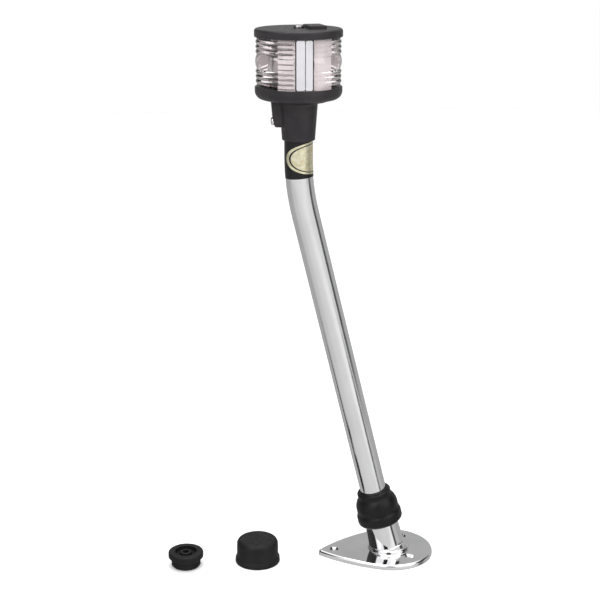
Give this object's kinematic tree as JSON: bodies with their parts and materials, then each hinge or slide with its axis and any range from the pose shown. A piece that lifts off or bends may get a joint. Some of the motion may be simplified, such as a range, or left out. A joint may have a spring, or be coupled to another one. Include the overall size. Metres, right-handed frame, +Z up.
{
  "type": "navigation light",
  "caption": "Boat navigation light: two bulb compartments with clear ribbed lenses on a raked, bent plug-in pole, a screw collar and a teardrop deck socket.",
  "frame": {"origin": "where the socket's raked axis meets the underside of the deck flange", "axes": "+Z up from the deck; -X along the teardrop's point, the way the pole leans; Y across the flange"},
  "size_m": [0.2596, 0.0816, 0.5136],
  "materials": {
    "chrome_casting": "polished chrome plate",
    "chrome_tube": "polished tube",
    "chrome_screw": "polished screw head",
    "head_plastic": "satin moulded",
    "collar_plastic": "satin moulded",
    "holder_plastic": "moulded",
    "white_plastic": "moulded",
    "lens_plastic": "clear ribbed",
    "black_film": "smooth film",
    "gold_foil": "brushed foil",
    "rubber": "moulded",
    "seal_rubber": "smooth",
    "brass": "bright",
    "bulb_glass": "clear",
    "filament": "tungsten",
    "wire_red": "insulation",
    "wire_green": "insulation",
    "wire_black": "insulation"
  },
  "bodies": {
    "base": {"base_casting": "chrome_casting", "socket_casting": "chrome_casting", "deck_seal": "seal_rubber", "contact_block": "holder_plastic", "contact_pins": "brass"},
    "pole": {"pole_tube": "chrome_tube", "pole_plug": "holder_plastic", "plug_contacts": "brass", "wire_fore": "wire_red", "wire_aft": "wire_green", "wire_common": "wire_black", "wire_link": "wire_black", "label_band": "black_film", "foil_label": "gold_foil", "head_base": "head_plastic", "screw_insert": "brass", "lens_fore": "lens_plastic", "lens_aft": "lens_plastic", "reflector_fore": "white_plastic", "reflector_aft": "white_plastic", "lampholder_fore": "holder_plastic", "lampholder_aft": "holder_plastic", "bulb_base_fore": "brass", "bulb_base_aft": "brass", "bulb_glass_fore": "bulb_glass", "bulb_glass_aft": "bulb_glass", "filament_fore": "filament", "filament_aft": "filament"},
    "seal": {"gland_seal": "seal_rubber"},
    "collar": {"collar_nut": "collar_plastic"},
    "lid": {"top_cap": "head_plastic", "cap_gasket": "seal_rubber"},
    "lid_screw": {"cap_screw": "chrome_screw"},
    "clamp": {"clamp_screw": "chrome_screw"},
    "socket_plug": {"socket_plug": "rubber"},
    "dust_cap": {"dust_cap": "rubber"}
  },
  "joints": [
    {"name": "pole_unplug", "type": "slide", "parent": "base", "child": "pole", "axis": [-0.2351, 0, 0.972], "range_m": [0, 0.06]},
    {"name": "collar_lift", "type": "slide", "parent": "pole", "child": "seal", "axis": [-0.2351, 0, 0.972], "range_m": [0, 0.008]},
    {"name": "collar_turn", "type": "hinge", "parent": "seal", "child": "collar", "pos_m": [0, 0, 0], "axis": [-0.2351, 0, 0.972], "range_deg": [0, 1080]},
    {"name": "lid_lift", "type": "slide", "parent": "pole", "child": "lid", "axis": [0, 0, 1], "range_m": [0, 0.065]},
    {"name": "lid_screw_turn", "type": "hinge", "parent": "lid", "child": "lid_screw", "pos_m": [-0.0894, 0, 0.5107], "axis": [0, 0, 1], "range_deg": [0, 1440]},
    {"name": "clamp_screw_turn", "type": "hinge", "parent": "pole", "child": "clamp", "pos_m": [-0.1118, 0, 0.4292], "axis": [-1, 0, 0], "range_deg": [0, 720]},
    {"name": "socket_plug_lift", "type": "slide", "parent": "base", "child": "socket_plug", "axis": [0, 0, 1], "range_m": [0, 0.06]},
    {"name": "dust_cap_lift", "type": "slide", "parent": "base", "child": "dust_cap", "axis": [0, 0, 1], "range_m": [0, 0.06]}
  ],
  "couplings": [
    {"joint": "collar_lift", "follows": "collar_turn", "m_per_rad": 0.000424}
  ]
}
